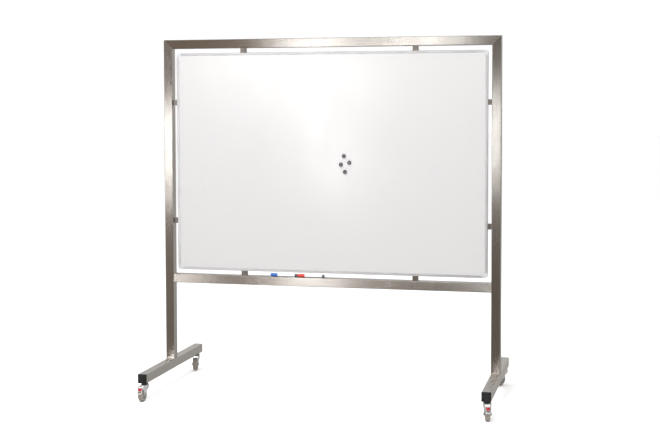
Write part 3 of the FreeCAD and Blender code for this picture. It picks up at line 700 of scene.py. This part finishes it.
def pedal(shape):
    """The brake pedal: a guard with a slot across it, side arms, pivot boss and a ribbed foot bar."""
    half = PEDAL_HALF_WIDTH
    bent_bar(shape, 39.6, 43.2, 2 * half, 31, 64, crown=0.6)
    bent_bar(shape, 39.6, 43.6, 2 * half, 12, 19, steps=4, crown=0.4)
    for side in (-1, 1):
        arm = bmesh.new()
        bent_bar(arm, 37.9, 42.4, 2.6, 15, 62, crown=0.3)
        shift = Matrix.Translation((0, side * 10.5 * MM, 0))
        bmesh.ops.transform(arm, matrix=shift, verts=arm.verts)
        merge_into(shape, arm)
    sideways = Matrix.Rotation(QUARTER_TURN, 4, "X")
    at_pin = Matrix.Translation((PIN[0] * MM, 0, PIN[1] * MM)) @ sideways
    boss = [(0, -half), (4.9, -half), (5.4, 0.6 - half), (5.4, half - 0.6), (4.9, half), (0, half)]
    pin_end = CHEEK_OUTER
    pin = [(0, -pin_end), (2.2, -pin_end), (2.45, 0.4 - pin_end), (2.45, pin_end - 0.4),
           (2.2, pin_end), (0, pin_end)]
    lathe(shape, in_mm(boss), 36, at_pin)
    lathe(shape, in_mm(pin), 24, at_pin)
    foot_bar = [(41.5, 0.2), (53.0, 0.6), (54.6, 1.6), (54.8, 3.0), (53.8, 3.9), (51.6, 3.9),
                (51.2, 3.2), (49.8, 3.2), (49.4, 3.9), (48.0, 3.9), (47.6, 3.2), (46.2, 3.2),
                (45.8, 3.9), (41.5, 3.7)]
    tilted = Matrix.Rotation(-LIP_TILT, 4, "Y") @ sideways
    prism(shape, in_mm(foot_bar), -half * MM, half * MM, tilted)


def pedal_tab(shape):
    """The red release tab across the pedal, with three grip ribs and a raised lower edge."""
    bent_bar(shape, 43.7, 46.6, 19.8, 34.2, 54.8, crown=0.7)
    bent_bar(shape, 46.4, 48.3, 19.4, 34.4, 37.4, steps=3, crown=0.2)
    for start in (40.0, 44.6, 49.2):
        bent_bar(shape, 46.5, 47.9, 15.6, start, start + 2.2, steps=3, crown=0.3)


def merge_into(shape, other):
    """Moves another mesh's geometry into a shape and frees it."""
    spare = bpy.data.meshes.new("spare")
    other.to_mesh(spare)
    other.free()
    shape.from_mesh(spare)
    bpy.data.meshes.remove(spare)


def make_castor(corner, looks):
    """All the visible pieces of one castor."""
    castor = Castor(corner)
    body, wheel_body = f"castor_{corner}", f"wheel_{corner}"
    node = f"castor_{corner}"
    shell = new_piece(f"fork_{corner}", fork_shell(castor.braked), castor.stem_frame,
                      looks["bright_fork"], body, [f"{node}_fork"])
    sheet = shell.modifiers.new("sheet_metal", "SOLIDIFY")
    sheet.thickness = SHEET_METAL * MM
    sheet.offset = 0
    add_bevel(shell, 0.5 * MM)
    new_piece(f"fork_crown_{corner}", fork_crown, castor.stem_frame, looks["bright_fork"],
              body)
    new_piece(f"ball_race_{corner}", ball_race, castor.stem_frame, looks["dark_ring"], "frame",
              [f"{node}_bearing"])
    new_piece(f"axle_bolt_{corner}", axle_bolt, castor.wheel_frame, looks["plated_axle"], body,
              [f"{node}_axle"])
    centre = new_piece(f"wheel_centre_{corner}", wheel_centre, castor.wheel_frame,
                       looks["wheel_grey"], wheel_body, [f"{node}_wheel_centre"])
    add_bevel(centre, 0.3 * MM)
    new_piece(f"tyre_{corner}", tyre, castor.wheel_frame, looks["tyre_rubber"], wheel_body,
              [f"{node}_tyre"])
    if castor.braked:
        upright = castor.wheel_frame @ Matrix.Rotation(-QUARTER_TURN, 4, "X")
        lever = new_piece(f"pedal_{corner}", pedal, upright, looks["pedal_white"],
                          f"brake_{corner}", [f"brake_pedal_{corner}"])
        add_bevel(lever, 0.5 * MM)
        tab = new_piece(f"release_tab_{corner}", pedal_tab, upright, looks["tab_red"],
                        f"brake_{corner}", [f"brake_tab_{corner}"])
        add_bevel(tab, 0.4 * MM)


# ---- frame details ----------------------------------------------------------------------

def rounded_square(half, radius, steps=4):
    """A square outline with round corners, centred on the origin."""
    points = []
    for number, (x, y) in enumerate(((1, 1), (-1, 1), (-1, -1), (1, -1))):
        centre = (x * (half - radius), y * (half - radius))
        points += arc(centre, radius, 90 * number, 90 * number + 90, steps)
    return points


def cap_cushion(shape):
    """An end cap's face: round corners, a soft edge and a slightly domed middle. Z points outward."""
    levels = ((25.0, 3.0, 0.0), (25.0, 3.0, 0.4), (24.9, 3.0, 2.4), (24.4, 3.0, 3.3),
              (23.4, 3.0, 3.8), (21.5, 3.0, 3.9), (20.9, 3.0, 3.6), (20.2, 2.6, 3.6),
              (19.6, 2.4, 3.85), (12.0, 2.0, 3.97))
    rings = []
    for half, radius, height in levels:
        points = rounded_square(half * MM, radius * MM)
        rings.append(ring_of(shape, [(x, y, height * MM) for x, y in points]))
    for first, second in zip(rings, rings[1:]):
        join_rings(shape, first, second)
    middle = ring_of(shape, [(0, 0, 4.0 * MM)])
    join_rings(shape, rings[-1], middle)
    shape.faces.new(list(reversed(rings[0])))


def make_end_caps(looks):
    for end, facing in (("front", -1), ("rear", 1)):
        for side in ("left", "right"):
            node = f"end_cap_{end}_{side}"
            low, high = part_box(node)
            foot_low, foot_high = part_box(f"{side}_foot")
            centre = (low + high) / 2
            centre.y = foot_low.y if facing < 0 else foot_high.y
            outward = Matrix.Rotation(-facing * QUARTER_TURN, 4, "X")
            new_piece(f"cap_{end}_{side}", cap_cushion, Matrix.Translation(centre) @ outward,
                      looks["black_plastic"], "frame", [node])


def rippled_bead(shape, start, end, radius, chance):
    """A weld bead between two points: overlapping ripples of slightly uneven size."""
    start, end = Vector(start), Vector(end)
    run = end - start
    pitch = 1.5 * MM
    ripples = max(3, round(run.length / pitch))
    spin = run.to_track_quat("Z", "Y").to_matrix().to_4x4()
    profile = []
    for number in range(ripples):
        size = radius * (0.88 + 0.12 * chance.random())
        low = run.length * number / ripples
        high = run.length * (number + 1) / ripples
        profile += [(size * 0.84, low), (size * 0.97, low + (high - low) * 0.35),
                    (size, low + (high - low) * 0.7)]
    profile = [(0, -0.3 * radius), (radius * 0.6, -0.1 * radius)] + profile
    profile += [(radius * 0.6, run.length + 0.1 * radius), (0, run.length + 0.3 * radius)]
    lathe(shape, profile, 14, Matrix.Translation(start) @ spin)


def all_welds(shape):
    """The beads round the posts' feet and the lower rail's ends, and the mitres' fine lines."""
    chance = random.Random(5)
    inset = 3 * MM
    for side in ("left", "right"):
        post_low, post_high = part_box(f"{side}_post")
        foot_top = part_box(f"{side}_foot")[1].z
        for y in (post_low.y, post_high.y):
            rippled_bead(shape, (post_low.x + inset, y, foot_top),
                         (post_high.x - inset, y, foot_top), 2.3 * MM, chance)
        rail_low, rail_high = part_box("lower_rail")
        x = rail_low.x if side == "left" else rail_high.x
        for z in (rail_low.z, rail_high.z):
            rippled_bead(shape, (x, rail_low.y + inset, z), (x, rail_high.y - inset, z),
                         2.3 * MM, chance)
        for y in (rail_low.y, rail_high.y):
            rippled_bead(shape, (x, y, rail_low.z + inset), (x, y, rail_high.z - inset),
                         0.9 * MM, chance)
        outer_x = post_low.x if side == "left" else post_high.x
        inner_x = post_high.x if side == "left" else post_low.x
        top = post_high.z
        tube = post_high.x - post_low.x
        lean = math.copysign(2.5 * MM, inner_x - outer_x)
        for y in (post_low.y, post_high.y):
            rippled_bead(shape, (outer_x + lean, y, top - 2.5 * MM),
                         (inner_x - lean, y, top - tube + 2.5 * MM), 0.7 * MM, chance)


# ---- board details ----------------------------------------------------------------------

def magnet(shape):
    """A round magnet: soft-edged cap with a shallow dished top, on a thin bare rim."""
    profile = [(0, 0), (10.2, 0), (10.5, 0.9), (11.0, 1.1), (10.95, 1.6), (10.6, 5.6), (10.2, 6.9),
               (9.3, 7.7), (8.3, 8.0), (7.6, 7.9), (6.8, 7.5), (3.5, 7.25), (0, 7.2)]
    lathe(shape, in_mm(profile))


def make_magnets(looks):
    for number in ("one", "two", "three", "four"):
        node = f"magnet_{number}"
        low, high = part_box(node)
        centre = (low + high) / 2
        centre.y = high.y
        outward = Matrix.Rotation(QUARTER_TURN, 4, "X")
        new_piece(f"round_{node}", magnet, Matrix.Translation(centre) @ outward,
                  looks["magnet_dark"], node, [node])


def marker_cap(length):
    """A builder for a marker's cap: domed end, fluted grip and a lip at its mouth."""
    def build(shape):
        profile = [(0, 0), (5.5, 0.05), (7.6, 0.5), (8.5, 1.4), (8.8, 3.0), (8.8, 6.0), (8.5, 6.4),
                   (8.5, 7.2), (8.85, 7.6), (8.9, 34), (8.6, 34.5), (8.6, 35.3), (9.0, 35.8),
                   (9.0, 40.6), (8.7, 41.0), (7.75, 41.0), (7.7, 4), (0, 3.6)]
        scale = length / 41.0
        lathe(shape, [(r * MM, z * scale) for r, z in profile])
        for number in range(18):
            turn = Matrix.Rotation(2 * math.pi * number / 18, 4, "Z")
            flute = [(8.5, -0.35), (8.98, -0.2), (8.98, 0.2), (8.5, 0.35)]
            prism(shape, [(x * MM, y * MM) for x, y in flute], 9 * scale, 31 * scale, turn)
    return build


def marker_body(length, start):
    """A builder for a marker's barrel: nib, spigot and a sleeve with a fine step at each end."""
    def build(shape):
        end = length / MM
        neck = start / MM
        profile = [(0, neck - 33.8), (1.4, neck - 33.2), (2.3, neck - 30), (2.9, neck - 26),
                   (3.0, neck - 24), (6.2, neck - 23.6), (7.2, neck - 21), (7.25, neck + 0.1),
                   (8.7, neck + 0.15), (9.0, neck + 0.6), (9.0, neck + 3.0), (8.8, neck + 3.3),
                   (8.8, end - 3.0), (9.0, end - 2.7), (9.0, end - 0.4), (8.8, end), (0, end)]
        lathe(shape, in_mm(profile))
    return build


def marker_plug(length):
    """A builder for the end plug: a short collar and a recessed round end."""
    def build(shape):
        end = length / MM
        profile = [(0, 0), (8.7, 0), (8.95, 0.3), (8.95, 2.4), (8.6, 2.8), (8.6, end - 2.4),
                   (8.2, end - 0.7), (7.3, end - 0.05), (6.2, end), (5.6, end - 0.5), (0, end - 0.8)]
        lathe(shape, in_mm(profile))
    return build


def make_markers(looks):
    along = Matrix.Rotation(QUARTER_TURN, 4, "Y")
    for colour in ("blue", "red"):
        cap_low, cap_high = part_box(f"{colour}_marker_cap")
        plug_low, plug_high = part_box(f"{colour}_marker_plug")
        start = (cap_low + cap_high) / 2
        start.x = cap_low.x
        cap_length = cap_high.x - cap_low.x
        barrel_end = plug_low.x - cap_low.x
        plug_start = start.copy()
        plug_start.x = plug_low.x
        place = Matrix.Translation(start) @ along
        new_piece(f"{colour}_cap", marker_cap(cap_length), place, looks[f"marker_{colour}"],
                  f"{colour}_cap", [f"{colour}_marker_cap"])
        new_piece(f"{colour}_barrel", marker_body(barrel_end, cap_length), place,
                  looks[f"barrel_{colour}"], f"{colour}_marker",
                  [f"{colour}_marker_barrel"])
        new_piece(f"{colour}_plug", marker_plug(plug_high.x - plug_low.x),
                  Matrix.Translation(plug_start) @ along, looks["marker_dark"],
                  f"{colour}_marker", [f"{colour}_marker_plug"])


# ---- carried-over CAD nodes -------------------------------------------------------------

def give(material, *nodes):
    """Puts one material on whole CAD nodes."""
    for name in nodes:
        data = frame["nodes"][name].data
        data.materials.clear()
        data.materials.append(material)


def make_looks():
    """Every material, by the name of the slot it finishes."""
    looks = {
        "bright_fork": pressed_metal("bright_fork", (0.86, 0.865, 0.87, 1), (0.66, 0.665, 0.67, 1),
                                     rough=(0.16, 0.30), metal=0.8),
        "dark_ring": pressed_metal("dark_ring", (0.16, 0.16, 0.17, 1), (0.06, 0.06, 0.065, 1),
                                   rough=(0.3, 0.5)),
        "plated_axle": pressed_metal("plated_axle", (0.66, 0.65, 0.62, 1), (0.34, 0.33, 0.31, 1),
                                     rough=(0.25, 0.4), mottle=160),
        "plated_stem": pressed_metal("plated_stem", (0.78, 0.78, 0.76, 1), (0.52, 0.52, 0.50, 1),
                                     rough=(0.2, 0.35), mottle=140),
        "plated_screw": pressed_metal("plated_screw", (0.76, 0.76, 0.74, 1), (0.5, 0.5, 0.48, 1),
                                      rough=(0.2, 0.35), mottle=200),
        "lug_steel": brushed_metal("lug_steel", (0.27, 0.24, 0.22, 1), (0.13, 0.115, 0.105, 1), Z),
        "weld": weld_metal("weld"),
        "black_plastic": moulded_plastic("black_plastic", (0.006, 0.008, 0.007), (0.38, 0.52),
                                         wear=0.05, specular=0.18),
        "grey_plastic": moulded_plastic("grey_plastic", (0.42, 0.43, 0.44), (0.35, 0.5)),
        "wheel_grey": moulded_plastic("wheel_grey", (0.34, 0.335, 0.32), (0.4, 0.55)),
        "pedal_white": moulded_plastic("pedal_white", (0.62, 0.62, 0.60), (0.2, 0.34)),
        "tab_red": moulded_plastic("tab_red", (0.36, 0.018, 0.028), (0.2, 0.34), wear=0.1),
        "magnet_dark": moulded_plastic("magnet_dark", (0.055, 0.058, 0.068), (0.16, 0.3)),
        "marker_blue": moulded_plastic("marker_blue", (0.02, 0.11, 0.42), (0.16, 0.28)),
        "marker_red": moulded_plastic("marker_red", (0.62, 0.045, 0.03), (0.16, 0.28)),
        "marker_dark": moulded_plastic("marker_dark", (0.09, 0.10, 0.125), (0.2, 0.34)),
        "barrel_blue": marker_barrel("barrel_blue", (0.03, 0.12, 0.42, 1),
                                     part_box("blue_marker_cap")[0].x),
        "barrel_red": marker_barrel("barrel_red", (0.6, 0.05, 0.03, 1),
                                    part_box("red_marker_cap")[0].x),
        "tyre_rubber": tyre_rubber("tyre_rubber"),
    }
    return looks


def dress_nodes(looks):
    """Better materials for the CAD nodes whose shapes are right as they are."""
    give(stainless_tube("stainless_post", Z), *POSTS)
    give(stainless_tube("stainless_rail", X), *RAILS)
    give(stainless_tube("stainless_foot", Y), "left_foot", "right_foot")
    light, dark, satin = (0.76, 0.765, 0.785, 1), (0.64, 0.645, 0.67, 1), (0.4, 0.52)
    level = brushed_metal("profile_level", light, dark, X, satin)
    upright = brushed_metal("profile_upright", light, dark, Z, satin)
    give(level, "board_frame_top", "board_frame_bottom")
    give(upright, "board_frame_left", "board_frame_right")
    give(looks["grey_plastic"], "board_corners")
    give(looks["lug_steel"], "board_lugs")
    give(looks["plated_screw"], "lug_screws")
    give(looks["plated_stem"], "castor_nuts", *[f"castor_{corner}_stem" for corner in CORNERS])
    give(enamel_surface("enamel"), *SHEET)
    give(paper_honeycomb("core"), "board_core")
    give(galvanised_sheet("zinc_sheet"), "back_sheet")


def make_floor():
    """A wide pale floor. Mirrors of the object don't show it, so the steel keeps the room's tone."""
    shape = bmesh.new()
    bmesh.ops.create_circle(shape, cap_ends=True, segments=96, radius=60)
    data = bpy.data.meshes.new("floor")
    shape.to_mesh(data)
    shape.free()
    floor = bpy.data.objects.new("floor", data)
    bpy.context.scene.collection.objects.link(floor)
    floor.visible_glossy = False
    data.materials.append(pale_floor("floor"))


bpy.context.scene.view_settings.view_transform = "Standard"
make_camera()
make_world()
make_lights()
make_floor()
looks = make_looks()
dress_nodes(looks)
new_piece("weld_beads", all_welds, Matrix(), looks["weld"], "frame", ["frame_welds"])
make_end_caps(looks)
make_magnets(looks)
make_markers(looks)
for corner in CORNERS:
    make_castor(corner, looks)
